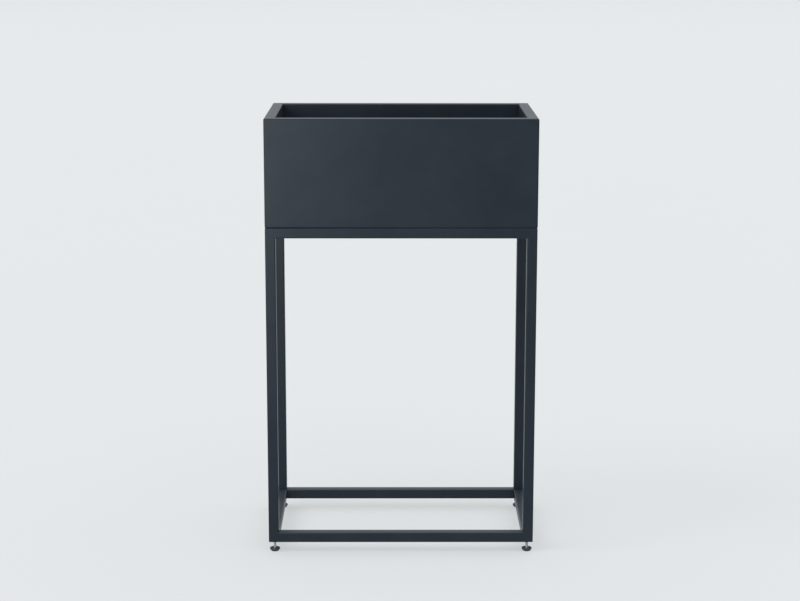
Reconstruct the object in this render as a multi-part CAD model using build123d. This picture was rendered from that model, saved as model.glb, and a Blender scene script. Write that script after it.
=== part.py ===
from build123d import *
import math
import os

# Raised planter on legs: a folded sheet-steel box bolted to a welded stand of
# square tube that stands on four levelling feet. Millimetres, +Z up, front
# towards -Y. The origin is on the floor, under the middle of the stand.

# Overall sizes: the box and the stand share one footprint
WIDTH = 600.0           # X
DEPTH = 350.0           # Y
FOOT_GAP = 23.0         # floor to the underside of the stand, feet at mid travel
STAND_HEIGHT = 723.0
BOX_HEIGHT = 241.0

# Square tube of the stand
TUBE = 23.0
TUBE_WALL = 1.5
TUBE_RADIUS = 2.5       # outside corner radius
COPE = 0.8 * TUBE_RADIUS  # how far a side rail's end laps the rounded edge beside it

# Folded sheet of the box
SHEET = 1.5
BEND = 3.0              # outside bend radius
RIM = 24.0              # width of the rim that turns inwards round the mouth
LIP = 40.0              # height of the lip that turns down at the rim's inner edge
BASE_FLANGE = 52.0      # width of the flange that turns inwards under the floor
FLOOR_MARGIN = 3.0      # outer face of a wall to the edge of the floor plate
DRAIN_RADIUS = 6.0
DRAIN_X = 180.0
DRAIN_Y = 70.0

THREAD_CLEARANCE = 0.05 # all round, between a threaded shank and what it turns in

# M6 bolts that hold the box down on tabs in the stand's upper corners
BOLT_RADIUS = 3.0
BOLT_CLEARANCE = 3.3    # radius of the clearance holes
BOLT_LENGTH = 16.0
BOLT_HEAD_RADIUS = 5.4
BOLT_HEAD_HEIGHT = 4.0
HEX_SOCKET = 4.0        # across flats
HEX_SOCKET_DEPTH = 2.4
BOLT_FROM_SIDE = 60.0   # bolt axis to the outer face of the side
BOLT_FROM_FRONT = 37.0  # bolt axis to the outer face of the front or back
WASHER_RADIUS = 8.0
WASHER_HEIGHT = 1.6
NUT_ACROSS_FLATS = 10.0
LOCK_NUT_HEIGHT = 6.0
TAB_LENGTH = 52.0
TAB_WIDTH = 28.0
TAB_THICKNESS = 3.0
TAB_CHAMFER = 8.0

# Levelling feet
FOOT_INSET = 13.0       # stud axis to the outer faces of the leg
STUD_RADIUS = 3.0
STUD_TOP = 43.0
STUD_CHAMFER = 0.8
STUD_HEAD_RADIUS = 4.0
STUD_HEAD_HEIGHT = 3.0
HEAD_AXIAL_GAP = 0.1
WELD_NUT_HEIGHT = 5.0
RAIL_HOLE_RADIUS = 3.6
PAD_RADIUS = 11.5
PAD_BASE_RADIUS = 8.5
PAD_HEIGHT = 7.0
PAD_DISH = 0.9          # depth of the dished top at the stud
PAD_POCKET_FLOOR = 2.2
PAD_SHOULDER = 4.2      # height where the tapered side turns upright
PAD_EDGE = 0.8

STAND_BOTTOM = FOOT_GAP
STAND_TOP = FOOT_GAP + STAND_HEIGHT
BOX_TOP = STAND_TOP + BOX_HEIGHT
FLOOR_BOTTOM = STAND_TOP + SHEET
FLOOR_TOP = FLOOR_BOTTOM + SHEET
OVERCUT = 5.0           # how far a cutting shape runs past what it cuts

SIDES = {"left": -1, "right": 1}
ENDS = {"front": -1, "back": 1}

os.makedirs("parts", exist_ok=True)


def save(name, shape):
    export_step(shape, f"parts/{name}.step")


def tube(length, hollow=True):
    """A square tube along +Z from the origin, centred on its own axis."""
    outline = RectangleRounded(TUBE, TUBE, TUBE_RADIUS)
    if hollow:
        bore = TUBE - 2 * TUBE_WALL
        outline -= RectangleRounded(bore, bore, TUBE_RADIUS - TUBE_WALL)
    return extrude(outline, amount=length)


def mitre_prism(points, y):
    """A wedge about the plane at y, with the (x, z) points as its outline."""
    outline = make_face(Polyline(*[(x, y, z) for x, z in points], close=True))
    return extrude(outline, amount=TUBE / 2 + OVERCUT, dir=(0, 1, 0), both=True)


def cylinder(radius, bottom, top, x=0.0, y=0.0):
    shape = Cylinder(radius, top - bottom, align=(Align.CENTER, Align.CENTER, Align.MIN))
    return Pos(x, y, bottom) * shape


def hexagon_bar(across_flats, bottom, top, x=0.0, y=0.0):
    outline = RegularPolygon(across_flats / 2, 6, major_radius=False)
    return Pos(x, y, bottom) * extrude(outline, amount=top - bottom)


# ---------------------------------------------------------------- stand

def ground_corner(side, outer_z, inward, first, last):
    """Points round a welded corner that is ground off, in degrees from the outer_z face."""
    points = []
    for step in range(4):
        angle = math.radians(first + (last - first) * step / 3)
        x = side * (WIDTH / 2 - TUBE_RADIUS * (1 - math.sin(angle)))
        points.append((x, outer_z + inward * TUBE_RADIUS * (1 - math.cos(angle))))
    return points


def leg(side, end, hollow=True):
    """An upright tube with both ends mitred against the front or back rails."""
    x_outer = side * (WIDTH / 2 + OVERCUT)
    x_inner = side * (WIDTH / 2 - TUBE - OVERCUT)
    y = end * (DEPTH - TUBE) / 2
    body = Pos(side * (WIDTH - TUBE) / 2, y, STAND_BOTTOM) * tube(STAND_HEIGHT, hollow)
    outline = ground_corner(side, STAND_BOTTOM, 1, 45, 90)
    outline.append((x_outer, STAND_BOTTOM + TUBE_RADIUS))
    outline.append((x_outer, STAND_TOP - TUBE_RADIUS))
    outline += ground_corner(side, STAND_TOP, -1, 90, 45)
    outline.append((x_inner, STAND_TOP - TUBE - OVERCUT))
    outline.append((x_inner, STAND_BOTTOM + TUBE + OVERCUT))
    return body & mitre_prism(outline, y)


def long_rail(end, outer_z, inward, hollow=True):
    """A front or back rail, mitred at both ends; outer_z is its outer face."""
    y = end * (DEPTH - TUBE) / 2
    centre_z = outer_z + inward * TUBE / 2
    body = Pos(-WIDTH / 2, y, centre_z) * Rot(0, 90, 0) * tube(WIDTH, hollow)
    beyond_z = outer_z - inward * OVERCUT
    inner_z = outer_z + inward * (TUBE + OVERCUT)
    half_outer = WIDTH / 2 - TUBE_RADIUS
    half_inner = WIDTH / 2 - TUBE - OVERCUT
    outline = [(-half_outer, beyond_z), (half_outer, beyond_z)]
    outline += ground_corner(1, outer_z, inward, 0, 45)
    outline += [(half_inner, inner_z), (-half_inner, inner_z)]
    outline += ground_corner(-1, outer_z, inward, 45, 0)
    return body & mitre_prism(outline, y)


def side_rail(side, outer_z, inward):
    """A side rail between the frames, its ends coped to fill their rounded edges."""
    length = DEPTH - 2 * TUBE + 2 * COPE
    centre_z = outer_z + inward * TUBE / 2
    rail = Pos(side * (WIDTH - TUBE) / 2, length / 2, centre_z) * Rot(90, 0, 0) * tube(length)
    for end in ENDS.values():
        rail -= leg(side, end, hollow=False)
        rail -= long_rail(end, outer_z, inward, hollow=False)
    return rail


def foot_centre(side, end):
    return side * (WIDTH / 2 - FOOT_INSET), end * (DEPTH / 2 - FOOT_INSET)


def bolt_centre(side, end):
    return side * (WIDTH / 2 - BOLT_FROM_SIDE), end * (DEPTH / 2 - BOLT_FROM_FRONT)


def weld_nut(side, end):
    """A nut welded inside the lower rail, over the hole for the foot's stud."""
    x, y = foot_centre(side, end)
    bottom = STAND_BOTTOM + TUBE_WALL
    nut = hexagon_bar(NUT_ACROSS_FLATS, bottom, bottom + WELD_NUT_HEIGHT, x, y)
    bore = STUD_RADIUS + THREAD_CLEARANCE
    return nut - cylinder(bore, bottom - OVERCUT, bottom + 2 * WELD_NUT_HEIGHT, x, y)


def corner_tab(side, end):
    """A plate welded level with the top of the stand, that the box bolts to."""
    x_far = side * (WIDTH / 2 - TUBE)
    x_near = x_far - side * TAB_LENGTH
    y_far = end * (DEPTH / 2 - TUBE)
    y_near = y_far - end * TAB_WIDTH
    outline = make_face(
        Polyline(
            (x_far, y_far),
            (x_far, y_near),
            (x_near + side * TAB_CHAMFER, y_near),
            (x_near, y_near + end * TAB_CHAMFER),
            (x_near, y_far),
            close=True,
        )
    )
    bottom = STAND_TOP - TAB_THICKNESS
    plate = extrude(Pos(0, 0, bottom) * outline, amount=TAB_THICKNESS, dir=(0, 0, 1))
    x, y = bolt_centre(side, end)
    return plate - cylinder(BOLT_CLEARANCE, bottom - OVERCUT, STAND_TOP + OVERCUT, x, y)


# ------------------------------------------------------------------ box

def plan_outline(*points):
    return make_face(Polyline(*points, close=True))


def box_panel(length, half_span):
    """A front wall folded with its rim, lip and base flange.

    It runs along X with its outer face at y = -half_span. Both ends are mitred
    and the upright outer corners are rounded.
    """
    mid = SHEET / 2
    with BuildSketch(Plane.YZ) as section:
        with BuildLine():
            FilletPolyline(
                (RIM - mid, BOX_HEIGHT - LIP),
                (RIM - mid, BOX_HEIGHT - mid),
                (mid, BOX_HEIGHT - mid),
                (mid, mid),
                (BASE_FLANGE, mid),
                radius=BEND - mid,
            )
        trace(line_width=SHEET)
    bar = Pos(0, -half_span, STAND_TOP) * extrude(section.sketch, amount=length / 2, both=True)
    reach = BASE_FLANGE + OVERCUT
    mitred = plan_outline(
        (-length / 2 - OVERCUT, -half_span - OVERCUT),
        (length / 2 + OVERCUT, -half_span - OVERCUT),
        (length / 2 - reach, -half_span + reach),
        (-length / 2 + reach, -half_span + reach),
    )
    rounded = RectangleRounded(length, 2 * half_span, BEND)
    base = Pos(0, 0, STAND_TOP - OVERCUT)
    height = BOX_HEIGHT + 2 * OVERCUT
    column = extrude(base * mitred, amount=height, dir=(0, 0, 1))
    rounded_column = extrude(base * rounded, amount=height, dir=(0, 0, 1))
    return bar & column & rounded_column


def bolt_holes():
    """Clearance holes through the base of the box, one over each tab."""
    holes = []
    for side in SIDES.values():
        for end in ENDS.values():
            x, y = bolt_centre(side, end)
            holes.append(cylinder(BOLT_CLEARANCE, STAND_TOP - OVERCUT, FLOOR_TOP + OVERCUT, x, y))
    return holes


def box_floor():
    """A flat plate welded on top of the base flanges, with drain holes."""
    plate = extrude(
        Pos(0, 0, FLOOR_BOTTOM)
        * Rectangle(WIDTH - 2 * FLOOR_MARGIN, DEPTH - 2 * FLOOR_MARGIN),
        amount=SHEET,
    )
    drain_places = [(0, 0)]
    for side in SIDES.values():
        for end in ENDS.values():
            drain_places.append((side * DRAIN_X, end * DRAIN_Y))
    for x, y in drain_places:
        plate -= cylinder(DRAIN_RADIUS, STAND_TOP, FLOOR_TOP + OVERCUT, x, y)
    for hole in bolt_holes():
        plate -= hole
    return plate


def box_bolt(side, end):
    """A button-head bolt, put in from inside the box."""
    x, y = bolt_centre(side, end)
    seat = FLOOR_TOP + WASHER_HEIGHT
    shank = cylinder(BOLT_RADIUS, seat - BOLT_LENGTH, seat + BOLT_HEAD_HEIGHT / 4, x, y)
    head = cylinder(BOLT_HEAD_RADIUS, seat, seat + BOLT_HEAD_HEIGHT, x, y)
    top_edge = head.edges().group_by(Axis.Z)[-1]
    head = fillet(top_edge, BOLT_HEAD_HEIGHT / 2)
    top = seat + BOLT_HEAD_HEIGHT
    return shank + head - hexagon_bar(HEX_SOCKET, top - HEX_SOCKET_DEPTH, top + OVERCUT, x, y)


def box_washer(side, end):
    x, y = bolt_centre(side, end)
    washer = cylinder(WASHER_RADIUS, FLOOR_TOP, FLOOR_TOP + WASHER_HEIGHT, x, y)
    return washer - cylinder(BOLT_CLEARANCE, STAND_TOP, FLOOR_TOP + OVERCUT, x, y)


def box_nut(side, end):
    x, y = bolt_centre(side, end)
    top = STAND_TOP - TAB_THICKNESS
    nut = hexagon_bar(NUT_ACROSS_FLATS, top - LOCK_NUT_HEIGHT, top, x, y)
    bore = BOLT_RADIUS + THREAD_CLEARANCE
    return nut - cylinder(bore, top - 2 * LOCK_NUT_HEIGHT, top + OVERCUT, x, y)


# ----------------------------------------------------------------- feet

def turned(points, x, y):
    """A solid of revolution about the upright axis at (x, y)."""
    outline = make_face(Polyline(*[(r, 0, z) for r, z in points], close=True))
    return Pos(x, y, 0) * revolve(outline, Axis.Z)


def foot_pad(side, end):
    """A round moulded pad; the head of the stud turns in its closed pocket."""
    x, y = foot_centre(side, end)
    neck = STUD_RADIUS + THREAD_CLEARANCE
    pocket = STUD_HEAD_RADIUS + THREAD_CLEARANCE
    pocket_top = PAD_POCKET_FLOOR + STUD_HEAD_HEIGHT + HEAD_AXIAL_GAP
    points = [
        (0, 0),
        (PAD_BASE_RADIUS, 0),
        (PAD_RADIUS, PAD_SHOULDER),
        (PAD_RADIUS, PAD_HEIGHT - PAD_EDGE),
        (PAD_RADIUS - PAD_EDGE, PAD_HEIGHT),
        (neck, PAD_HEIGHT - PAD_DISH),
        (neck, pocket_top),
        (pocket, pocket_top),
        (pocket, PAD_POCKET_FLOOR),
        (0, PAD_POCKET_FLOOR),
    ]
    return turned(points, x, y)


def foot_stud(side, end):
    """A headed M6 stud that screws through the weld nut into the leg."""
    x, y = foot_centre(side, end)
    head_bottom = PAD_POCKET_FLOOR + HEAD_AXIAL_GAP / 2
    head_top = head_bottom + STUD_HEAD_HEIGHT
    points = [
        (0, head_bottom),
        (STUD_HEAD_RADIUS, head_bottom),
        (STUD_HEAD_RADIUS, head_top),
        (STUD_RADIUS, head_top),
        (STUD_RADIUS, STUD_TOP - STUD_CHAMFER),
        (STUD_RADIUS - STUD_CHAMFER, STUD_TOP),
        (0, STUD_TOP),
    ]
    return turned(points, x, y)


# -------------------------------------------------------------- writing

def at_corners(make):
    """One loose solid at each of the four corners, as one group."""
    return Compound(children=[make(side, end) for side in SIDES.values() for end in ENDS.values()])


for side_name, side in SIDES.items():
    for end_name, end in ENDS.items():
        corner = f"{end_name}_{side_name}"
        save(f"leg_{corner}", leg(side, end))
        save(f"corner_tab_{corner}", corner_tab(side, end))
        save(f"foot_pad_{corner}", foot_pad(side, end))
        save(f"foot_stud_{corner}", foot_stud(side, end))

for end_name, end in ENDS.items():
    save(f"top_rail_{end_name}", long_rail(end, STAND_TOP, -1))
    lower_rail = long_rail(end, STAND_BOTTOM, 1)
    for side in SIDES.values():
        x, y = foot_centre(side, end)
        hole_top = STAND_BOTTOM + TUBE / 2
        lower_rail -= cylinder(RAIL_HOLE_RADIUS, STAND_BOTTOM - OVERCUT, hole_top, x, y)
    save(f"bottom_rail_{end_name}", lower_rail)

for side_name, side in SIDES.items():
    save(f"top_rail_{side_name}", side_rail(side, STAND_TOP, -1))
    save(f"bottom_rail_{side_name}", side_rail(side, STAND_BOTTOM, 1))

front_panel = box_panel(WIDTH, DEPTH / 2)
for hole in bolt_holes():
    front_panel -= hole
save("box_front_panel", front_panel)
save("box_back_panel", Rot(0, 0, 180) * front_panel)
side_panel = Rot(0, 0, 90) * box_panel(DEPTH, WIDTH / 2)
save("box_right_panel", side_panel)
save("box_left_panel", Rot(0, 0, 180) * side_panel)
save("box_floor", box_floor())

save("weld_nuts", at_corners(weld_nut))
save("box_bolts", at_corners(box_bolt))
save("box_washers", at_corners(box_washer))
save("box_nuts", at_corners(box_nut))
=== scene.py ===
import math

import bmesh
import bpy
from mathutils import Matrix, Vector


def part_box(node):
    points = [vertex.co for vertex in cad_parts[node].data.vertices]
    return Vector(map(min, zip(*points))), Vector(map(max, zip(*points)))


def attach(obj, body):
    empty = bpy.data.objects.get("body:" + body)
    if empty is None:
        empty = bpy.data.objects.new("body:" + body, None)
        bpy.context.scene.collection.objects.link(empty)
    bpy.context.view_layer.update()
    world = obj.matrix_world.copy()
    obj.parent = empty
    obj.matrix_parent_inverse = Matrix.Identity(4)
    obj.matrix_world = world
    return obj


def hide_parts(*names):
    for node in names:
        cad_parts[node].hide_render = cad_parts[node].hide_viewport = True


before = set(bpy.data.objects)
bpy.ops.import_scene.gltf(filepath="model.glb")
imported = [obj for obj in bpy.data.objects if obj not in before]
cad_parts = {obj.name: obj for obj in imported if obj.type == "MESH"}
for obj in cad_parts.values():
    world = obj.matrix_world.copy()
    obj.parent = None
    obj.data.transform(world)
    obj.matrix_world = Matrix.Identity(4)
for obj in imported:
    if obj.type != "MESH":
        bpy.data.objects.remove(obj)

bl_info = {
    "name": "Raised planter on legs",
    "version": (1, 0, 0),
    "blender": (4, 5, 0),
    "location": "View3D > Sidebar > Planter",
    "description": "Builds the pieces, finishes and studio of a steel planter box on a tube stand",
    "category": "Object",
}

MM = 0.001
SMOOTH_WITHIN = math.radians(32)  # bends turn less than this from facet to facet
MERGE_WITHIN = 2e-6
SLIVER_LENGTH = 1e-7
CORNERS = ("front_left", "front_right", "back_left", "back_right")
TUBES = ("leg_", "top_rail_", "bottom_rail_")


# ---------------------------------------------------------------- places in the frame

def low(node):
    return Vector(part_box(node)[0])


def high(node):
    return Vector(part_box(node)[1])


def middle(node):
    return (low(node) + high(node)) / 2


def spans(node):
    return high(node) - low(node)


# ---------------------------------------------------------------- node trees

def add(tree, kind, inputs=None, **settings):
    """One node, with its settings made and its inputs set or linked."""
    made = tree.nodes.new(kind)
    for name, value in settings.items():
        setattr(made, name, value)
    for key, value in (inputs or {}).items():
        socket = made.inputs[key]
        if isinstance(value, bpy.types.NodeSocket):
            tree.links.new(value, socket)
        else:
            socket.default_value = value
    return made


def calculate(tree, operation, first, second=0.0, clamp=False):
    made = add(tree, "ShaderNodeMath", {0: first, 1: second}, operation=operation)
    made.use_clamp = clamp
    return made.outputs[0]


def rescale(tree, value, low_in, high_in, low_out, high_out):
    """The value spread from one range to another, and held inside it."""
    sockets = {0: value, 1: low_in, 2: high_in, 3: low_out, 4: high_out}
    return add(tree, "ShaderNodeMapRange", sockets).outputs[0]


def blend_colour(tree, factor, first, second):
    made = add(tree, "ShaderNodeMix", data_type="RGBA")
    for index, value in ((0, factor), (6, first), (7, second)):
        if isinstance(value, bpy.types.NodeSocket):
            tree.links.new(value, made.inputs[index])
        elif index:
            made.inputs[index].default_value = (*value[:3], 1.0)
        else:
            made.inputs[index].default_value = value
    return made.outputs[2]


def new_group(name, kind, inputs, outputs):
    """An empty node group with (name, socket type, default) inputs and outputs."""
    tree = bpy.data.node_groups.new(name, kind)
    for label, socket_type, value in inputs:
        socket = tree.interface.new_socket(name=label, in_out="INPUT", socket_type=socket_type)
        if value is not None:
            socket.default_value = value
    for label, socket_type in outputs:
        tree.interface.new_socket(name=label, in_out="OUTPUT", socket_type=socket_type)
    entry = tree.nodes.new("NodeGroupInput").outputs
    leave = tree.nodes.new("NodeGroupOutput").inputs
    return tree, entry, leave


def shared(name, build):
    """A node group that is built once and used again."""
    return bpy.data.node_groups.get(name) or build(name)


FLOAT = "NodeSocketFloat"
VECTOR = "NodeSocketVector"
GEOMETRY = "NodeSocketGeometry"
MATERIAL = "NodeSocketMaterial"


# ---------------------------------------------------------------- effects shared by the finishes

def object_position(tree, size, stretch=(1.0, 1.0, 1.0)):
    """Object coordinates counted in lengths of one size, with each axis stretched."""
    place = add(tree, "ShaderNodeTexCoord").outputs["Object"]
    place = add(tree, "ShaderNodeVectorMath", {0: place, 1: stretch}, operation="MULTIPLY")
    scale = calculate(tree, "DIVIDE", 1.0, size)
    scaled = add(tree, "ShaderNodeVectorMath", {0: place.outputs[0]}, operation="SCALE")
    tree.links.new(scale, scaled.inputs["Scale"])
    return scaled.outputs[0]


def noise(tree, place, detail=2.0, roughness=0.5):
    sockets = {"Vector": place, "Scale": 1.0, "Detail": detail, "Roughness": roughness}
    return add(tree, "ShaderNodeTexNoise", sockets).outputs[0]


def build_surface_grain(name):
    """The fine flow texture of a sprayed or moulded skin."""
    inputs = [("Grain Size", FLOAT, 0.0012), ("Ripple Size", FLOAT, 0.006)]
    inputs.append(("Ripple Share", FLOAT, 0.4))
    tree, entry, leave = new_group(name, "ShaderNodeTree", inputs, [("Height", FLOAT)])
    fine = noise(tree, object_position(tree, entry["Grain Size"]), 3.0, 0.55)
    slow = noise(tree, object_position(tree, entry["Ripple Size"]), 1.0)
    share = entry["Ripple Share"]
    fine = calculate(tree, "MULTIPLY", fine, calculate(tree, "SUBTRACT", 1.0, share))
    slow = calculate(tree, "MULTIPLY", slow, share)
    tree.links.new(calculate(tree, "ADD", fine, slow), leave["Height"])
    return tree


def build_tone_drift(name):
    """Slow, cloudy change of tone over a surface, from 0 to 1."""
    inputs = [("Patch Size", FLOAT, 0.15), ("Contrast", FLOAT, 1.0)]
    tree, entry, leave = new_group(name, "ShaderNodeTree", inputs, [("Tone", FLOAT)])
    clouds = noise(tree, object_position(tree, entry["Patch Size"]), 4.0, 0.6)
    centred = calculate(tree, "SUBTRACT", clouds, 0.5)
    strong = calculate(tree, "MULTIPLY", centred, entry["Contrast"])
    tree.links.new(calculate(tree, "ADD", strong, 0.5, clamp=True), leave["Tone"])
    return tree


def build_painted_edge_highlight_and_wear(name):
    """Edges lightened in colour, partly as a coat drawn thin or worn and partly as a painted
    highlight: 1 on the edge, 0 on the flats.
    """
    inputs = [("Edge Width", FLOAT, 0.0012), ("Break Up", FLOAT, 0.02)]
    tree, entry, leave = new_group(name, "ShaderNodeTree", inputs, [("Edge", FLOAT)])
    rounded = add(tree, "ShaderNodeBevel", {"Radius": entry["Edge Width"]}, samples=6)
    flat = add(tree, "ShaderNodeNewGeometry").outputs["Normal"]
    sockets = {0: rounded.outputs[0], 1: flat}
    agree = add(tree, "ShaderNodeVectorMath", sockets, operation="DOT_PRODUCT")
    edge = rescale(tree, agree.outputs["Value"], 0.99, 0.8, 0.0, 1.0)
    broken = noise(tree, object_position(tree, entry["Break Up"]), 3.0)
    broken = rescale(tree, broken, 0.35, 0.65, 0.35, 1.0)
    tree.links.new(calculate(tree, "MULTIPLY", edge, broken), leave["Edge"])
    return tree


def build_settled_dust(name):
    """Fine dust, thickest on the faces that look up."""
    inputs = [("Amount", FLOAT, 0.3), ("Patch Size", FLOAT, 0.03)]
    tree, entry, leave = new_group(name, "ShaderNodeTree", inputs, [("Dust", FLOAT)])
    facing = add(tree, "ShaderNodeNewGeometry").outputs["Normal"]
    up = add(tree, "ShaderNodeSeparateXYZ", {0: facing}).outputs["Z"]
    up = rescale(tree, up, 0.2, 1.0, 0.0, 1.0)
    patches = noise(tree, object_position(tree, entry["Patch Size"]), 5.0, 0.65)
    patches = rescale(tree, patches, 0.35, 0.75, 0.25, 1.0)
    dust = calculate(tree, "MULTIPLY", up, patches)
    tree.links.new(calculate(tree, "MULTIPLY", dust, entry["Amount"]), leave["Dust"])
    return tree


def build_turning_marks(name):
    """The fine rings that a lathe or a thread roller leaves round an upright axis."""
    inputs = [("Ring Pitch", FLOAT, 0.0003)]
    tree, entry, leave = new_group(name, "ShaderNodeTree", inputs, [("Height", FLOAT)])
    rings = noise(tree, object_position(tree, entry["Ring Pitch"], (0.03, 0.03, 1.0)), 2.0)
    tree.links.new(rings, leave["Height"])
    return tree


def effect(tree, name, build, **values):
    """A shared effect placed in a material with its own values; returns its output."""
    placed = add(tree, "ShaderNodeGroup", node_tree=shared(name, build))
    for label, value in values.items():
        placed.inputs[label.replace("_", " ").title()].default_value = value
    return placed.outputs[0]


def new_finish(name):
    finish = bpy.data.materials.new(name)
    finish.use_nodes = True
    tree = finish.node_tree
    tree.nodes.clear()
    surface = add(tree, "ShaderNodeBsdfPrincipled")
    result = add(tree, "ShaderNodeOutputMaterial")
    tree.links.new(surface.outputs[0], result.inputs["Surface"])
    return finish, tree, surface.inputs


def roughen(tree, sockets, height, depth):
    """Raises the surface by a height pattern, depth metres tall."""
    values = {"Strength": 1.0, "Distance": depth, "Height": height}
    bump = add(tree, "ShaderNodeBump", values)
    tree.links.new(bump.outputs[0], sockets["Normal"])


def powder_coat():
    """Satin powder coat, baked on to the steel."""
    found = bpy.data.materials.get("powder_coat_satin")
    if found:
        return found
    look = bpy.context.scene.planter_coat
    finish, tree, sockets = new_finish("powder_coat_satin")
    drift = effect(tree, "tone drift", build_tone_drift, patch_size=0.11, contrast=1.6)
    edge = effect(tree, "painted edge highlight and wear", build_painted_edge_highlight_and_wear, edge_width=0.0011)
    dust = effect(tree, "settled dust", build_settled_dust, amount=look.dust)
    lighter = [channel * 1.35 + 0.0015 for channel in look.colour]
    colour = blend_colour(tree, drift, look.colour, lighter)
    # Edges lightened towards the edge tint: partly the coat drawn thin, partly a painted highlight.
    painted_edge_highlight_share = calculate(tree, "MULTIPLY", edge, look.painted_edge_highlight_and_wear_amount)
    colour = blend_colour(tree, painted_edge_highlight_share, colour, look.painted_edge_highlight_and_wear_tint)
    colour = blend_colour(tree, dust, colour, look.dust_colour)
    tree.links.new(colour, sockets["Base Color"])
    rough = rescale(tree, drift, 0.0, 1.0, look.roughness - 0.03, look.roughness + 0.04)
    rough = calculate(tree, "ADD", rough, calculate(tree, "MULTIPLY", dust, 0.6), clamp=True)
    rough = calculate(tree, "SUBTRACT", rough, calculate(tree, "MULTIPLY", edge, 0.06))
    tree.links.new(rough, sockets["Roughness"])
    sockets["Specular IOR Level"].default_value = 0.12
    grain = effect(tree, "surface grain", build_surface_grain, grain_size=look.grain_size)
    roughen(tree, sockets, grain, look.grain_depth)
    return finish


def bright_zinc():
    """Zinc-plated steel of studs, bolts, washers and nuts."""
    found = bpy.data.materials.get("zinc_plated_steel")
    if found:
        return found
    finish, tree, sockets = new_finish("zinc_plated_steel")
    drift = effect(tree, "tone drift", build_tone_drift, patch_size=0.004, contrast=2.0)
    edge = effect(tree, "painted edge highlight and wear", build_painted_edge_highlight_and_wear, edge_width=0.0003)
    colour = blend_colour(tree, drift, (0.30, 0.32, 0.34), (0.44, 0.46, 0.47))
    # Painted highlight: the edges are lightened to a pale tint.
    colour = blend_colour(tree, edge, colour, (0.68, 0.69, 0.70))
    tree.links.new(colour, sockets["Base Color"])
    sockets["Metallic"].default_value = 1.0
    rough = rescale(tree, drift, 0.0, 1.0, 0.26, 0.42)
    tree.links.new(rough, sockets["Roughness"])
    rings = effect(tree, "turning marks", build_turning_marks, ring_pitch=0.00025)
    roughen(tree, sockets, rings, 0.00002)
    return finish


def moulded_plastic():
    """Black moulded plastic of the foot pads, with a spark-eroded mould's fine texture."""
    found = bpy.data.materials.get("pad_black_plastic")
    if found:
        return found
    finish, tree, sockets = new_finish("pad_black_plastic")
    drift = effect(tree, "tone drift", build_tone_drift, patch_size=0.01, contrast=1.5)
    edge = effect(tree, "painted edge highlight and wear", build_painted_edge_highlight_and_wear, edge_width=0.0006)
    dust = effect(tree, "settled dust", build_settled_dust, amount=0.10, patch_size=0.004)
    colour = blend_colour(tree, drift, (0.008, 0.009, 0.010), (0.014, 0.015, 0.016))
    # Painted highlight: the edges are lightened a little.
    colour = blend_colour(tree, calculate(tree, "MULTIPLY", edge, 0.3), colour, (0.07, 0.07, 0.07))
    colour = blend_colour(tree, dust, colour, (0.30, 0.30, 0.29))
    tree.links.new(colour, sockets["Base Color"])
    rough = rescale(tree, drift, 0.0, 1.0, 0.48, 0.62)
    tree.links.new(rough, sockets["Roughness"])
    grain = effect(
        tree, "surface grain", build_surface_grain,
        grain_size=0.0003, ripple_size=0.0015, ripple_share=0.3,
    )
    roughen(tree, sockets, grain, 0.00003)
    return finish


FINISHES = {"powder_coat": powder_coat, "zinc": bright_zinc, "pad_plastic": moulded_plastic}


# ---------------------------------------------------------------- meshes

def set_shading(mesh):
    """Smooth over bends and sharp at the corners."""
    shell = bmesh.new()
    shell.from_mesh(mesh)
    for face in shell.faces:
        face.smooth = True
    for edge in shell.edges:
        edge.smooth = edge.is_manifold and edge.calc_face_angle(0.0) < SMOOTH_WITHIN
    shell.to_mesh(mesh)
    shell.free()


def settled(piece):
    """The piece with its modifiers worked into its mesh."""
    depsgraph = bpy.context.evaluated_depsgraph_get()
    mesh = bpy.data.meshes.new_from_object(piece.evaluated_get(depsgraph), depsgraph=depsgraph)
    mesh.name = piece.name
    piece.modifiers.clear()
    old = piece.data
    piece.data = mesh
    bpy.data.meshes.remove(old)
    return piece


def new_piece(name, mesh):
    piece = bpy.data.objects.new(name, mesh)
    bpy.context.scene.collection.objects.link(piece)
    return piece


def hand_over(piece, body, slot, nodes):
    """Gives a finished piece its finish and its body, and hides the nodes it stands for."""
    if not piece.data.polygons:
        raise RuntimeError(f"{piece.name} came out empty")
    piece.data.materials.clear()
    piece.data.materials.append(FINISHES[slot]())
    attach(piece, body)
    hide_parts(*nodes)


def smooth_copy(node, name):
    """A joined-up copy of a node whose bends shade smoothly beside its flats."""
    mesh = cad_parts[node].data.copy()
    mesh.name = name
    shell = bmesh.new()
    shell.from_mesh(mesh)
    bmesh.ops.remove_doubles(shell, verts=shell.verts, dist=MERGE_WITHIN)
    bmesh.ops.dissolve_degenerate(shell, edges=shell.edges, dist=SLIVER_LENGTH)
    shell.to_mesh(mesh)
    shell.free()
    if mesh.has_custom_normals:
        mesh.attributes.remove(mesh.attributes["custom_normal"])
    set_shading(mesh)
    piece = new_piece(name, mesh)
    weigh = piece.modifiers.new("flats stay flat", "WEIGHTED_NORMAL")
    weigh.mode = "FACE_AREA"
    weigh.weight = 100
    weigh.keep_sharp = True
    return settled(piece)


def hexagon_radius(across_flats, angle):
    """How far a hexagon's side is from its centre in one direction."""
    turn = (angle + math.pi / 6) % (math.pi / 3) - math.pi / 6
    return across_flats / 2 / math.cos(math.pi / 6 - abs(turn))


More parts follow.
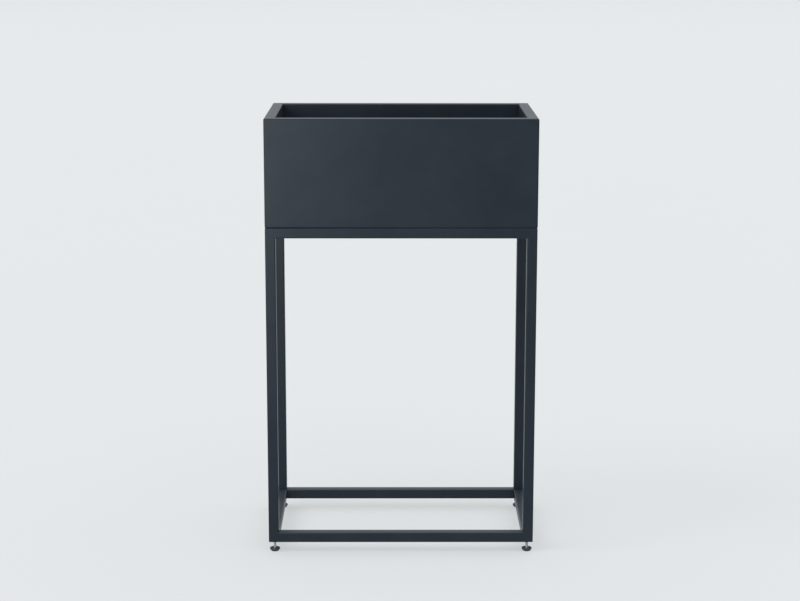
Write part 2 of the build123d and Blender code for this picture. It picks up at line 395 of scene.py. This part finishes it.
def turned(name, profile, places, segments=48, closed=False):
    """Profiles of (radius, height) or (radius, height, hexagon) turned about upright axes."""
    shell = bmesh.new()
    for place in places:
        rings = []
        for radius, height, *hexagon in profile:
            if radius == 0.0:
                rings.append([shell.verts.new(place + Vector((0, 0, height)))])
                continue
            ring = []
            for step in range(segments):
                angle = math.tau * step / segments
                reach = radius
                if hexagon:
                    reach = min(radius, hexagon_radius(hexagon[0], angle))
                spot = Vector((reach * math.cos(angle), reach * math.sin(angle), height))
                ring.append(shell.verts.new(place + spot))
            rings.append(ring)
        pairs = list(zip(rings, rings[1:]))
        if closed:
            pairs.append((rings[-1], rings[0]))
        for first, second in pairs:
            for step in range(segments):
                after = (step + 1) % segments
                corners = [first[step % len(first)], first[after % len(first)]]
                corners += [second[after % len(second)], second[step % len(second)]]
                shell.faces.new(dict.fromkeys(corners))
    bmesh.ops.recalc_face_normals(shell, faces=shell.faces)
    mesh = bpy.data.meshes.new(name)
    shell.to_mesh(mesh)
    shell.free()
    set_shading(mesh)
    return mesh


# ---------------------------------------------------------------- repeated shapes by rule

def new_geometry_group(name, inputs):
    return new_group(name, "GeometryNodeTree", inputs, [("Geometry", GEOMETRY)])


def moved(tree, geometry, offset):
    sockets = {"Geometry": geometry, "Translation": offset}
    return add(tree, "GeometryNodeTransform", sockets).outputs[0]


def lifted(tree, geometry, height):
    return moved(tree, geometry, add(tree, "ShaderNodeCombineXYZ", {"Z": height}).outputs[0])


def joined(tree, first, second):
    made = add(tree, "GeometryNodeJoinGeometry")
    for geometry in (first, second):
        tree.links.new(geometry, made.inputs[0])
    return made.outputs[0]


THREAD_SIZES = [
    ("Core Radius", FLOAT, 2.4 * MM),
    ("Ridge Height", FLOAT, 0.6 * MM),
    ("Pitch", FLOAT, MM),
    ("Length", FLOAT, 16 * MM),
]


def build_screw_thread(name):
    """A rolled thread: a core with one ridge wound up it, standing at the origin."""
    tree, entry, leave = new_geometry_group(name, THREAD_SIZES)
    length = entry["Length"]
    pitch = entry["Pitch"]
    core = entry["Core Radius"]
    wound = calculate(tree, "SUBTRACT", length, calculate(tree, "MULTIPLY", pitch, 1.2))
    turns = calculate(tree, "DIVIDE", wound, pitch)
    helix = add(tree, "GeometryNodeCurveSpiral", {
        "Resolution": 28, "Rotations": turns, "Start Radius": core, "End Radius": core,
        "Height": wound,
    })
    upright = add(tree, "GeometryNodeSetCurveNormal", {"Curve": helix.outputs[0]}, mode="Z_UP")
    flank = calculate(tree, "MULTIPLY", pitch, 0.46)
    ridge = add(tree, "GeometryNodeCurvePrimitiveQuadrilateral", {
        "Width": calculate(tree, "MULTIPLY", entry["Ridge Height"], 2.0),
        "Bottom Height": flank, "Top Height": flank,
    }, mode="KITE")
    swept = add(tree, "GeometryNodeCurveToMesh", {
        "Curve": upright.outputs[0], "Profile Curve": ridge.outputs[0], "Fill Caps": True,
    })
    rod = add(tree, "GeometryNodeMeshCylinder", {"Vertices": 32, "Radius": core, "Depth": length})
    raised = lifted(tree, swept.outputs[0], calculate(tree, "MULTIPLY", pitch, 0.6))
    stood = lifted(tree, rod.outputs[0], calculate(tree, "MULTIPLY", length, 0.5))
    tree.links.new(joined(tree, stood, raised), leave["Geometry"])
    return tree


def finish_tree(tree, geometry, entry, leave):
    """Makes instances real and sets the finish, as every piece's tree ends."""
    real = add(tree, "GeometryNodeRealizeInstances", {"Geometry": geometry})
    coated = add(tree, "GeometryNodeSetMaterial", {
        "Geometry": real.outputs[0], "Material": entry["Finish"],
    })
    tree.links.new(coated.outputs[0], leave["Geometry"])


def build_threaded_piece(name):
    """A turned piece with a thread standing at one place on it."""
    tree, entry, leave = new_geometry_group(name, [
        ("Geometry", GEOMETRY, None),
        ("Thread Foot", VECTOR, (0.0, 0.0, 0.0)),
        *THREAD_SIZES,
        ("Finish", MATERIAL, None),
    ])
    thread = add(tree, "GeometryNodeGroup", node_tree=shared("screw thread", build_screw_thread))
    for label, _, _ in THREAD_SIZES:
        tree.links.new(entry[label], thread.inputs[label])
    placed = moved(tree, thread.outputs[0], entry["Thread Foot"])
    finish_tree(tree, joined(tree, entry["Geometry"], placed), entry, leave)
    return tree


def build_four_corners(name):
    """One fixing set out at the four corners of a rectangle, each turned by chance."""
    tree, entry, leave = new_geometry_group(name, [
        ("Geometry", GEOMETRY, None),
        ("Spacing X", FLOAT, 0.4),
        ("Spacing Y", FLOAT, 0.2),
        ("Centre", VECTOR, (0.0, 0.0, 0.0)),
        ("Shank Length", FLOAT, 16 * MM),
        ("Has Shank", "NodeSocketBool", False),
        ("Turn Seed", "NodeSocketInt", 7),
        ("Finish", MATERIAL, None),
    ])
    grid = add(tree, "GeometryNodeMeshGrid", {
        "Size X": entry["Spacing X"], "Size Y": entry["Spacing Y"],
        "Vertices X": 2, "Vertices Y": 2,
    })
    corners = moved(tree, grid.outputs[0], entry["Centre"])
    thread = add(tree, "GeometryNodeGroup", node_tree=shared("screw thread", build_screw_thread))
    tree.links.new(entry["Shank Length"], thread.inputs["Length"])
    drop = calculate(tree, "MULTIPLY", entry["Shank Length"], -1.0)
    shank = add(tree, "GeometryNodeSwitch", {
        "Switch": entry["Has Shank"], "True": lifted(tree, thread.outputs[0], drop),
    }, input_type="GEOMETRY")
    fixing = joined(tree, entry["Geometry"], shank.outputs[0])
    chance = add(tree, "FunctionNodeRandomValue", {
        "Seed": entry["Turn Seed"], 0: (0.0, 0.0, 0.0), 1: (0.0, 0.0, math.tau),
    }, data_type="FLOAT_VECTOR")
    placed = add(tree, "GeometryNodeInstanceOnPoints", {
        "Points": corners, "Instance": fixing, "Rotation": chance.outputs[0],
    })
    finish_tree(tree, placed.outputs[0], entry, leave)
    return tree


def build_weld_bead(name):
    """A row of overlapping ripples laid along the given edges."""
    tree, entry, leave = new_geometry_group(name, [
        ("Geometry", GEOMETRY, None),
        ("Bead Radius", FLOAT, 1.8 * MM),
        ("Ripple Pitch", FLOAT, 1.3 * MM),
        ("Unevenness", FLOAT, 0.12),
        ("Seed", "NodeSocketInt", 3),
        ("Finish", MATERIAL, None),
    ])
    line = add(tree, "GeometryNodeMeshToCurve", {0: entry["Geometry"]})
    spaced = add(tree, "GeometryNodeResampleCurve", {"Curve": line.outputs[0]}, mode="LENGTH")
    tree.links.new(entry["Ripple Pitch"], spaced.inputs["Length"])
    ripple = add(tree, "GeometryNodeMeshUVSphere", {
        "Segments": 12, "Rings": 8, "Radius": entry["Bead Radius"],
    })
    smooth = add(tree, "GeometryNodeSetShadeSmooth", {0: ripple.outputs[0]})
    smallest = calculate(tree, "SUBTRACT", 1.0, entry["Unevenness"])
    size = add(tree, "FunctionNodeRandomValue", {
        "Seed": entry["Seed"], 2: smallest, 3: 1.0,
    }, data_type="FLOAT")
    placed = add(tree, "GeometryNodeInstanceOnPoints", {
        "Points": spaced.outputs[0], "Instance": smooth.outputs[0], "Scale": size.outputs[1],
    })
    finish_tree(tree, placed.outputs[0], entry, leave)
    return tree


def made_by_rule(piece, tree, **values):
    """Runs a tree on a piece with its inputs set, and keeps the plain mesh."""
    rule = piece.modifiers.new("rule", "NODES")
    rule.node_group = tree
    sockets = {
        item.name: item.identifier
        for item in tree.interface.items_tree
        if item.item_type == "SOCKET" and item.in_out == "INPUT"
    }
    for label, value in values.items():
        rule[sockets[label.replace("_", " ").title()]] = value
    return settled(piece)


# ---------------------------------------------------------------- sizes a user would change

class PlanterCoat(bpy.types.PropertyGroup):
    """The powder coat's look."""

    colour: bpy.props.FloatVectorProperty(
        name="Coat colour", description="Colour of the powder coat",
        subtype="COLOR", default=(0.0128, 0.0190, 0.0268), min=0.0, max=1.0,
    )
    # Tint of the edges: partly the coat drawn thin over them, partly a painted highlight.
    painted_edge_highlight_and_wear_tint: bpy.props.FloatVectorProperty(
        name="Edge colour", description="Tone where the coat draws thin over edges",
        subtype="COLOR", default=(0.035, 0.042, 0.047), min=0.0, max=1.0,
    )
    dust_colour: bpy.props.FloatVectorProperty(
        name="Dust colour", description="Tone of the settled dust",
        subtype="COLOR", default=(0.22, 0.23, 0.23), min=0.0, max=1.0,
    )
    roughness: bpy.props.FloatProperty(
        name="Roughness", description="How matt the coat is", subtype="FACTOR",
        default=0.34, min=0.05, max=1.0,
    )
    # How far the edges are lightened: partly thin coat, partly a painted highlight.
    painted_edge_highlight_and_wear_amount: bpy.props.FloatProperty(
        name="Edge tone", description="How much the edges lighten", subtype="FACTOR",
        default=0.5, min=0.0, max=1.0,
    )
    dust: bpy.props.FloatProperty(
        name="Dust", description="How much dust lies on the faces that look up",
        subtype="FACTOR", default=0.05, min=0.0, max=1.0,
    )
    grain_size: bpy.props.FloatProperty(
        name="Grain size", description="Width of one ripple of the coat", unit="LENGTH",
        default=1.1 * MM, min=0.2 * MM, max=5 * MM, precision=5,
    )
    grain_depth: bpy.props.FloatProperty(
        name="Grain depth", description="Height of the ripples", unit="LENGTH",
        default=0.035 * MM, min=0.0, max=0.3 * MM, precision=6,
    )


class PlanterFeet(bpy.types.PropertyGroup):
    """The levelling feet."""

    pitch: bpy.props.FloatProperty(
        name="Thread pitch", description="Rise of one turn of the studs", unit="LENGTH",
        default=1.0 * MM, min=0.5 * MM, max=2 * MM, precision=5,
    )
    ridge: bpy.props.FloatProperty(
        name="Thread depth", description="Height of the thread's ridge", unit="LENGTH",
        default=0.6 * MM, min=0.2 * MM, max=1.2 * MM, precision=5,
    )
    stud_radius: bpy.props.FloatProperty(
        name="Stud radius", description="Outside radius of the studs", unit="LENGTH",
        default=3 * MM, min=2 * MM, max=6 * MM, precision=5,
    )
    pad_radius: bpy.props.FloatProperty(
        name="Pad radius", description="Radius of the foot pads at their widest",
        unit="LENGTH", default=spans("foot_pad_front_left").x / 2,
        min=6 * MM, max=30 * MM, precision=5,
    )
    grooves: bpy.props.IntProperty(
        name="Grip grooves", description="Rings cut into the pads' undersides",
        default=3, min=0, max=3,
    )


class PlanterFixings(bpy.types.PropertyGroup):
    """The bolts, washers, nuts and welds."""

    socket_flats: bpy.props.FloatProperty(
        name="Key size", description="Across the flats of the bolts' sockets", unit="LENGTH",
        default=4 * MM, min=2 * MM, max=6 * MM, precision=5,
    )
    nut_flats: bpy.props.FloatProperty(
        name="Nut size", description="Across the flats of the nuts", unit="LENGTH",
        default=10 * MM, min=7 * MM, max=16 * MM, precision=5,
    )
    bead_radius: bpy.props.FloatProperty(
        name="Weld size", description="Radius of the welds under the tabs", unit="LENGTH",
        default=1.7 * MM, min=0.5 * MM, max=4 * MM, precision=5,
    )
    seed: bpy.props.IntProperty(
        name="Chance", description="Changes how the bolts and nuts happen to be turned",
        default=7, min=0, max=1000,
    )


class PlanterStudio(bpy.types.PropertyGroup):
    """Floor, light and camera."""

    floor_colour: bpy.props.FloatVectorProperty(
        name="Floor colour", description="Colour of the floor and backdrop",
        subtype="COLOR", default=(0.80, 0.83, 0.84), min=0.0, max=1.0,
    )
    floor_glow: bpy.props.FloatProperty(
        name="Floor glow", description="Light through the floor, which softens the shadows",
        default=0.57, min=0.0, max=2.0,
    )
    floor_radius: bpy.props.FloatProperty(
        name="Floor radius", description="How far the floor runs before it curves up",
        unit="LENGTH", default=26.0, min=4.0, max=40.0,
    )
    sky: bpy.props.FloatProperty(
        name="Room light", description="Strength of the light all round, most of it overhead",
        default=1.5, min=0.0, max=5.0,
    )
    key: bpy.props.FloatProperty(
        name="Key light", description="Strength of the wide overhead light, upper left",
        default=0.9, min=0.0, max=20.0,
    )
    side: bpy.props.FloatProperty(
        name="Side light", description="Power of the soft panel on the left",
        unit="POWER", default=75.0, min=0.0, max=5000.0,
    )
    lens: bpy.props.FloatProperty(
        name="Focal length", description="Camera lens in millimetres", subtype="DISTANCE_CAMERA",
        default=85.0, min=20.0, max=300.0,
    )


# ---------------------------------------------------------------- the pieces

class PLANTER_OT_stand(bpy.types.Operator):
    """Coat the legs and rails, their rounded edges shading smoothly"""

    bl_idname = "planter.stand"
    bl_label = "Legs and rails"

    def execute(self, context):
        for node in sorted(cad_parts):
            if node.startswith(TUBES):
                piece = smooth_copy(node, f"{node}_coated")
                hand_over(piece, "root", "powder_coat", [node])
        return {"FINISHED"}


class PLANTER_OT_box(bpy.types.Operator):
    """Coat the folded panels and the floor of the box"""

    bl_idname = "planter.box"
    bl_label = "Planter box"

    def execute(self, context):
        for node in sorted(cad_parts):
            if node.endswith("_panel") or node == "box_floor":
                piece = smooth_copy(node, f"{node}_coated")
                hand_over(piece, "root", "powder_coat", [node])
        return {"FINISHED"}


class PLANTER_OT_tabs(bpy.types.Operator):
    """Coat the corner tabs and lay the welds that hold them in the stand"""

    bl_idname = "planter.tabs"
    bl_label = "Corner tabs and welds"

    def execute(self, context):
        sizes = context.scene.planter_fixings
        for corner in CORNERS:
            node = f"corner_tab_{corner}"
            piece = smooth_copy(node, f"{node}_coated")
            hand_over(piece, "root", "powder_coat", [node])
        lines = bmesh.new()
        inset = 1.5 * MM
        for corner in CORNERS:
            bottom, top = low(f"corner_tab_{corner}"), high(f"corner_tab_{corner}")
            near_x, far_x = sorted((bottom.x, top.x), key=abs)
            near_y, far_y = sorted((bottom.y, top.y), key=abs)
            level = bottom.z - 0.2 * sizes.bead_radius
            start = (near_x + math.copysign(inset, far_x), far_y, level)
            end = (far_x, near_y + math.copysign(inset, far_y), level)
            spots = [lines.verts.new(spot) for spot in (start, (far_x, far_y, level), end)]
            lines.edges.new(spots[0:2])
            lines.edges.new(spots[1:3])
        mesh = bpy.data.meshes.new("tab_welds")
        lines.to_mesh(mesh)
        lines.free()
        welds = made_by_rule(
            new_piece("tab_welds", mesh), shared("weld bead", build_weld_bead),
            bead_radius=sizes.bead_radius, finish=powder_coat(),
        )
        hand_over(welds, "root", "powder_coat", [])
        return {"FINISHED"}


class PLANTER_OT_studs(bpy.types.Operator):
    """Make the threaded studs of the levelling feet"""

    bl_idname = "planter.studs"
    bl_label = "Foot studs"

    def execute(self, context):
        sizes = context.scene.planter_feet
        core = sizes.stud_radius - sizes.ridge
        tree = shared("threaded piece", build_threaded_piece)
        for corner in CORNERS:
            node = f"foot_stud_{corner}"
            centre, bottom, top = middle(node), low(node).z, high(node).z
            head = spans(node).x / 2
            plain = sizes.stud_radius * 0.98
            axis = Vector((centre.x, centre.y, 0))
            neck = bottom + 3.0 * MM
            start = neck + 2.2 * MM
            profile = [
                (0.0, bottom), (head * 0.55, bottom), (head * 0.9, bottom + 0.5 * MM),
                (head, bottom + 1.2 * MM), (head, neck - 0.7 * MM), (head * 0.88, neck - 0.1 * MM),
                (plain, neck + 0.2 * MM), (plain, start),
                (core, start + 0.5 * MM), (0.0, start + 0.5 * MM),
            ]
            mesh = turned(f"{node}_threaded", profile, [axis], 40)
            stud = made_by_rule(
                new_piece(f"{node}_threaded", mesh), tree, finish=bright_zinc(),
                thread_foot=(centre.x, centre.y, start), core_radius=core,
                ridge_height=sizes.ridge, pitch=sizes.pitch, length=top - start,
            )
            hand_over(stud, f"stud_{corner}", "zinc", [node])
        return {"FINISHED"}


class PLANTER_OT_pads(bpy.types.Operator):
    """Mould the foot pads, with a snap rim round the stud and grip rings beneath"""

    bl_idname = "planter.pads"
    bl_label = "Foot pads"

    def execute(self, context):
        sizes = context.scene.planter_feet
        for corner in CORNERS:
            node = f"foot_pad_{corner}"
            centre, tall = middle(node), spans(node).z
            widest = sizes.pad_radius
            base = widest * 0.74
            pocket = spans(f"foot_stud_{corner}").x / 2 + 0.05 * MM
            floor = low(f"foot_stud_{corner}").z
            under = [(0.0, 0.7 * MM), (1.2 * MM, 0.7 * MM), (1.5 * MM, 0.0)]
            for ring in range(sizes.grooves):
                edge = 2.6 * MM + ring * 1.9 * MM
                under += [(edge, 0.0), (edge + 0.15 * MM, 0.45 * MM)]
                under += [(edge + 0.65 * MM, 0.45 * MM), (edge + 0.8 * MM, 0.0)]
            outside = [
                (base - 0.4 * MM, 0.0), (base, 0.25 * MM), (base + 0.3 * MM, 1.0 * MM),
                (widest - 0.3 * MM, tall * 0.56), (widest, tall * 0.64),
                (widest, tall - 1.0 * MM), (widest - 0.25 * MM, tall - 0.35 * MM),
                (widest - 0.9 * MM, tall), (widest - 1.6 * MM, tall - 0.1 * MM),
            ]
            dish = [
                (widest * 0.62, tall - 0.62 * MM), (pocket + 1.4 * MM, tall - 0.9 * MM),
                (pocket + 1.2 * MM, tall - 0.5 * MM), (pocket - 0.1 * MM, tall - 0.5 * MM),
                (pocket - 0.6 * MM, tall - 0.8 * MM), (pocket - 0.6 * MM, tall - 1.3 * MM),
                (pocket, tall - 1.7 * MM), (pocket, floor), (0.0, floor),
            ]
            place = Vector((centre.x, centre.y, low(node).z))
            mesh = turned(f"{node}_moulded", under + outside + dish, [place], 64)
            pad = new_piece(f"{node}_moulded", mesh)
            hand_over(pad, f"pad_{corner}", "pad_plastic", [node])
        return {"FINISHED"}


BOLT_HEAD_RADIUS = 5.4 * MM
SOCKET_MOUTH = 2.6 * MM
WASHER_RADIUS = 8.0 * MM
WASHER_BORE = 3.2 * MM
NUT_BORE = 3.1 * MM


class PLANTER_OT_fixings(bpy.types.Operator):
    """Set out the bolts, washers and nuts that hold the box to the stand"""

    bl_idname = "planter.fixings"
    bl_label = "Bolts, washers and nuts"

    def execute(self, context):
        sizes = context.scene.planter_fixings
        tree = shared("four corners", build_four_corners)
        heads = spans("box_bolts")
        spread = {
            "spacing_x": heads.x - 2 * BOLT_HEAD_RADIUS,
            "spacing_y": heads.y - 2 * BOLT_HEAD_RADIUS,
        }
        studs = [middle(f"foot_stud_{corner}") for corner in CORNERS]
        stud_spread = {
            "spacing_x": 2 * max(abs(stud.x) for stud in studs),
            "spacing_y": 2 * max(abs(stud.y) for stud in studs),
        }

        seat = high("box_washers").z
        tall = high("box_bolts").z - seat
        key = sizes.socket_flats
        head = [
            (0.0, 0.0), (BOLT_HEAD_RADIUS - 0.5 * MM, 0.0),
            (BOLT_HEAD_RADIUS - 0.1 * MM, 0.2 * MM), (BOLT_HEAD_RADIUS, 0.5 * MM),
            (BOLT_HEAD_RADIUS, tall - 0.7 * MM), (BOLT_HEAD_RADIUS - 0.15 * MM, tall - 0.25 * MM),
            (BOLT_HEAD_RADIUS - 0.6 * MM, tall), (SOCKET_MOUTH + 0.15 * MM, tall),
            (SOCKET_MOUTH, tall - 0.15 * MM), (SOCKET_MOUTH, tall - 0.3 * MM, key),
            (SOCKET_MOUTH, tall - 2.6 * MM, key), (0.0, tall - 3.2 * MM),
        ]
        bolts = made_by_rule(
            new_piece("box_bolts_socket_head", turned("box_bolts", head, [Vector()])), tree,
            centre=(0.0, 0.0, seat), shank_length=seat - low("box_bolts").z, has_shank=True,
            turn_seed=sizes.seed, finish=bright_zinc(), **spread,
        )
        hand_over(bolts, "root", "zinc", ["box_bolts"])

        thick = spans("box_washers").z
        washer = [
            (WASHER_BORE, 0.15 * MM), (WASHER_BORE + 0.15 * MM, 0.0),
            (WASHER_RADIUS - 0.15 * MM, 0.0), (WASHER_RADIUS, 0.15 * MM),
            (WASHER_RADIUS, thick - 0.35 * MM), (WASHER_RADIUS - 0.4 * MM, thick),
            (WASHER_BORE + 0.25 * MM, thick), (WASHER_BORE, thick - 0.2 * MM),
        ]
        mesh = turned("box_washers", washer, [Vector()], closed=True)
        washers = made_by_rule(
            new_piece("box_washers_punched", mesh), tree,
            centre=(0.0, 0.0, low("box_washers").z), finish=bright_zinc(), **spread,
        )
        hand_over(washers, "root", "zinc", ["box_washers"])

        flats = sizes.nut_flats
        nuts_at = (("box_nuts", sizes.seed + 1, spread), ("weld_nuts", sizes.seed + 2, stud_spread))
        for node, seed, spacing in nuts_at:
            thick = spans(node).z
            nut = [
                (NUT_BORE, 0.35 * MM), (NUT_BORE + 0.4 * MM, 0.0), (flats * 0.48, 0.0),
                (flats, 0.9 * MM, flats), (flats, thick - 0.9 * MM, flats),
                (flats * 0.48, thick), (NUT_BORE + 0.4 * MM, thick), (NUT_BORE, thick - 0.35 * MM),
            ]
            nuts = made_by_rule(
                new_piece(f"{node}_hexagon", turned(node, nut, [Vector()], closed=True)), tree,
                centre=(0.0, 0.0, low(node).z), turn_seed=seed, finish=bright_zinc(), **spacing,
            )
            hand_over(nuts, "root", "zinc", [node])
        return {"FINISHED"}


# ---------------------------------------------------------------- studio

FLOOR_SWEEP = 8.0
WALL_TOP = 10.0
LIGHTS_AIM = (0.0, 0.0, 0.6)
KEY_PLACE = (-2.4, -0.9, 3.2)
KEY_WIDTH = math.radians(30)
SIDE_PLACE = (-1.0, -2.4, 0.95)
SIDE_WIDTH, SIDE_HEIGHT = 0.5, 1.6
WHITE = (1.0, 1.0, 1.0)
COOL_WHITE = (0.84, 0.94, 1.0)
CAMERA_PLACE = (-0.019, -4.271, 1.4235)
CAMERA_YAW, CAMERA_PITCH, CAMERA_ROLL = (math.radians(turn) for turn in (0.23, 11.58, 0.06))


def floor_finish(colour, glow):
    """Pale matt paint, with a faint unevenness, lit a little from behind."""
    finish, tree, sockets = new_finish("studio_floor")
    drift = effect(tree, "tone drift", build_tone_drift, patch_size=1.5, contrast=1.0)
    darker = [channel * 0.985 for channel in colour]
    glowing = blend_colour(tree, drift, darker, colour)
    tree.links.new(glowing, sockets["Emission Color"])
    painted = blend_colour(tree, 0.765, glowing, (0.0, 0.0, 0.0))
    tree.links.new(painted, sockets["Base Color"])
    sockets["Emission Strength"].default_value = glow
    sockets["Roughness"].default_value = 0.9
    sockets["Specular IOR Level"].default_value = 0.1
    return finish


def hang_light(name, kind, place, aim, power, colour):
    """A light at one place, aimed at another."""
    lamp = bpy.data.lights.new(name, kind)
    lamp.energy = power
    lamp.color = colour
    holder = bpy.data.objects.new(name, lamp)
    holder.location = place
    holder.rotation_mode = "QUATERNION"
    holder.rotation_quaternion = (Vector(aim) - Vector(place)).to_track_quat("-Z", "Y")
    bpy.context.scene.collection.objects.link(holder)
    return holder


class PLANTER_OT_studio(bpy.types.Operator):
    """Lay the floor, hang the lights and stand the camera"""

    bl_idname = "planter.studio"
    bl_label = "Studio"

    def execute(self, context):
        studio = context.scene.planter_studio
        self.lay_floor(studio)
        self.light_room(context, studio)
        self.stand_camera(context, studio)
        return {"FINISHED"}

    def lay_floor(self, studio):
        reach = studio.floor_radius
        section = [(0.0, 0.0), (2.0, 0.0), (8.0, 0.0), (reach, 0.0)]
        steps = 16
        for step in range(1, steps + 1):
            angle = math.pi / 2 * step / steps
            out, up = FLOOR_SWEEP * math.sin(angle), FLOOR_SWEEP * (1 - math.cos(angle))
            section.append((reach + out, up))
        section.append((reach + FLOOR_SWEEP, WALL_TOP))
        mesh = turned("floor", section, [Vector()], 96)
        mesh.flip_normals()
        floor = new_piece("floor", mesh)
        floor.data.materials.append(floor_finish(studio.floor_colour, studio.floor_glow))

    def light_room(self, context, studio):
        room = bpy.data.worlds.new("room")
        room.use_nodes = True
        tree = room.node_tree
        light = tree.nodes["Background"].inputs
        light["Color"].default_value = (0.99, 0.99, 1.0, 1.0)
        toward = add(tree, "ShaderNodeTexCoord").outputs["Generated"]
        height = add(tree, "ShaderNodeSeparateXYZ", {0: toward}).outputs["Z"]
        strength = rescale(tree, height, 0.3, 1.0, studio.sky * 0.45, studio.sky * 1.5)
        tree.links.new(strength, light["Strength"])
        context.scene.world = room
        key = hang_light("key", "SUN", KEY_PLACE, LIGHTS_AIM, studio.key, WHITE)
        key.data.angle = KEY_WIDTH
        panel = hang_light("side", "AREA", SIDE_PLACE, LIGHTS_AIM, studio.side, COOL_WHITE)
        panel.data.shape = "RECTANGLE"
        panel.data.size = SIDE_WIDTH
        panel.data.size_y = SIDE_HEIGHT
        panel.visible_diffuse = False
        panel.visible_camera = False

    def stand_camera(self, context, studio):
        level = math.cos(CAMERA_PITCH)
        ahead = Vector((
            math.sin(CAMERA_YAW) * level, math.cos(CAMERA_YAW) * level, -math.sin(CAMERA_PITCH),
        ))
        right = Vector((math.cos(CAMERA_YAW), -math.sin(CAMERA_YAW), 0))
        upward = right.cross(ahead)
        side = right * math.cos(CAMERA_ROLL) + upward * math.sin(CAMERA_ROLL)
        crown = upward * math.cos(CAMERA_ROLL) - right * math.sin(CAMERA_ROLL)
        turn = Matrix((side, crown, -ahead)).transposed()
        lens = bpy.data.cameras.new("camera")
        lens.sensor_width = 36.0
        lens.lens = studio.lens
        lens.clip_end = 60.0
        camera = bpy.data.objects.new("camera", lens)
        camera.matrix_world = Matrix.Translation(CAMERA_PLACE) @ turn.to_4x4()
        context.scene.collection.objects.link(camera)
        context.scene.camera = camera
        context.scene.view_settings.view_transform = "Standard"
        context.scene.view_settings.look = "None"


# ---------------------------------------------------------------- the add-on

OPERATORS = (
    PLANTER_OT_stand,
    PLANTER_OT_box,
    PLANTER_OT_tabs,
    PLANTER_OT_studs,
    PLANTER_OT_pads,
    PLANTER_OT_fixings,
    PLANTER_OT_studio,
)


class PLANTER_PT_sidebar(bpy.types.Panel):
    """Lists the planter's pieces and the sizes that can be changed"""

    bl_idname = "PLANTER_PT_sidebar"
    bl_label = "Planter"
    bl_space_type = "VIEW_3D"
    bl_region_type = "UI"
    bl_category = "Planter"

    def draw(self, context):
        for title, owner in SETTINGS.items():
            settings = getattr(context.scene, title)
            column = self.layout.column(align=True)
            column.label(text=owner.__doc__)
            for name in owner.__annotations__:
                column.prop(settings, name)
        for operator in OPERATORS:
            self.layout.operator(operator.bl_idname)


SETTINGS = {
    "planter_coat": PlanterCoat,
    "planter_feet": PlanterFeet,
    "planter_fixings": PlanterFixings,
    "planter_studio": PlanterStudio,
}
CLASSES = (*SETTINGS.values(), *OPERATORS, PLANTER_PT_sidebar)


def register():
    for item in CLASSES:
        bpy.utils.register_class(item)
    for title, owner in SETTINGS.items():
        setattr(bpy.types.Scene, title, bpy.props.PointerProperty(type=owner))


def unregister():
    for title in SETTINGS:
        delattr(bpy.types.Scene, title)
    for item in reversed(CLASSES):
        bpy.utils.unregister_class(item)


def main():
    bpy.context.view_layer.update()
    register()
    for operator in OPERATORS:
        group, name = operator.bl_idname.split(".")
        if getattr(getattr(bpy.ops, group), name)() != {"FINISHED"}:
            raise RuntimeError(f"{operator.bl_label} was not finished")


if __name__ == "__main__":
    main()
